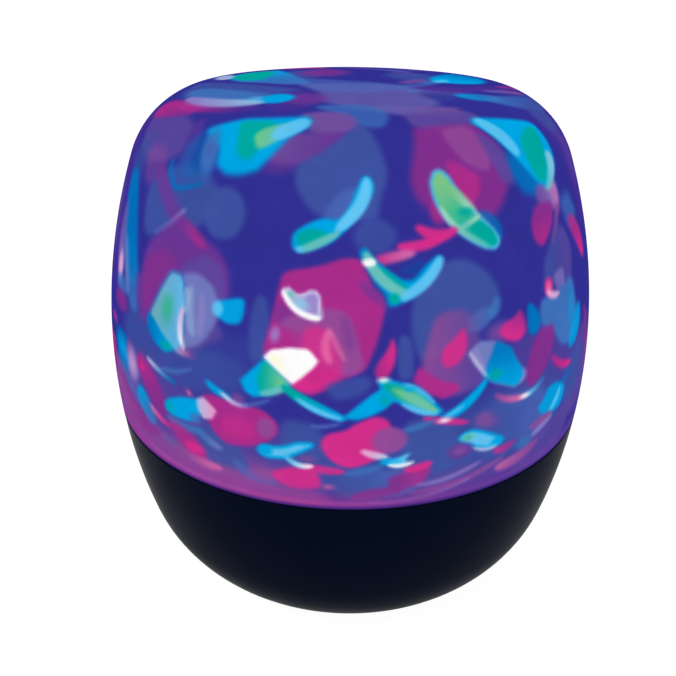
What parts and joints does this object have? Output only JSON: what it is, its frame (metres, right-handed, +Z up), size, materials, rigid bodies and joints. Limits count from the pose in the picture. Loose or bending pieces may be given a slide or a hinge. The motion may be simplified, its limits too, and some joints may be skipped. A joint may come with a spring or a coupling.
{
  "type": "fiber optic lamp",
  "caption": "Table-top mood lamp: a glowing translucent dome that lifts off a round black base, with a motor-driven faceted lens over coloured lamps inside.",
  "frame": {"origin": "on the surface it stands on, under the middle of the lamp", "axes": "+Z up along the axis of revolution, -Y towards the front, +Y towards the button and cable socket"},
  "size_m": [0.12, 0.12, 0.124],
  "materials": {
    "dome_plastic": "translucent, satin gloss",
    "base_plastic": "black, smooth satin",
    "inner_plastic": "black, moulded",
    "deck_plastic": "white, moulded",
    "gear_plastic": "natural white acetal",
    "lens_plastic": "clear, cut facets",
    "foot_rubber": "matte",
    "screw_steel": "zinc plated",
    "motor_steel": "drawn sheet",
    "motor_cap_plastic": "moulded",
    "contact_metal": "nickel plated",
    "lamp_board": "white solder mask",
    "control_board": "green solder mask",
    "red_lamp": "clear tinted resin",
    "green_lamp": "clear tinted resin",
    "blue_lamp": "clear tinted resin",
    "switch_plastic": "moulded",
    "chip_plastic": "moulded",
    "capacitor_sleeve": "shrink sleeve",
    "cell_sleeve": "plain shrink sleeve",
    "wire_insulation": "soft PVC"
  },
  "bodies": {
    "base": {"base_bowl": "base_plastic", "deck": "deck_plastic", "deck_screws": "screw_steel", "chassis": "inner_plastic", "housing_screws": "screw_steel", "rubber_feet": "foot_rubber", "led_board": "lamp_board", "led_board_screws": "screw_steel", "led_red": "red_lamp", "led_green": "green_lamp", "led_blue": "blue_lamp", "gearbox": "inner_plastic", "motor_can": "motor_steel", "motor_end_cap": "motor_cap_plastic", "motor_clamp": "inner_plastic", "clamp_screws": "screw_steel", "contact_plates": "contact_metal", "contact_springs": "contact_metal", "battery_tray": "inner_plastic", "tray_screws": "screw_steel", "control_board": "control_board", "control_screws": "screw_steel", "tact_switch": "switch_plastic", "usb_socket": "contact_metal", "driver_chip": "chip_plastic", "capacitor": "capacitor_sleeve", "motor_wires": "wire_insulation", "led_wires": "wire_insulation", "battery_wires": "wire_insulation", "cell_1": "cell_sleeve", "cell_2": "cell_sleeve", "cell_3": "cell_sleeve"},
    "dome": {"dome": "dome_plastic"},
    "rotor": {"ring_gear": "gear_plastic", "lens_cup": "inner_plastic", "cup_screws": "screw_steel", "facet_lens": "lens_plastic"},
    "pinion": {"drive_pinion": "gear_plastic", "motor_shaft": "motor_steel"},
    "button": {"push_button": "base_plastic", "switch_plunger": "switch_plastic"},
    "door": {"battery_door": "base_plastic", "door_screw": "screw_steel"}
  },
  "joints": [
    {"name": "dome_lift", "type": "slide", "parent": "base", "child": "dome", "axis": [0, 0, 1], "range_m": [0, 0.06]},
    {"name": "lens_spin", "type": "hinge", "parent": "base", "child": "rotor", "pos_m": [0, 0, 0.035], "axis": [0, 0, 1], "continuous": true},
    {"name": "pinion_spin", "type": "hinge", "parent": "base", "child": "pinion", "pos_m": [0, -0.0361, 0.035], "axis": [0, 0, 1], "continuous": true},
    {"name": "button_press", "type": "slide", "parent": "base", "child": "button", "axis": [0, -1, 0], "range_m": [0, 0.0005], "stiffness_N_per_m": 1500, "springref_m": -0.0003},
    {"name": "door_swing", "type": "hinge", "parent": "base", "child": "door", "pos_m": [0, -0.0225, 0.0015], "axis": [-1, 0, 0], "range_deg": [0, 70]}
  ],
  "couplings": [
    {"joint": "pinion_spin", "follows": "lens_spin", "ratio": -5}
  ]
}
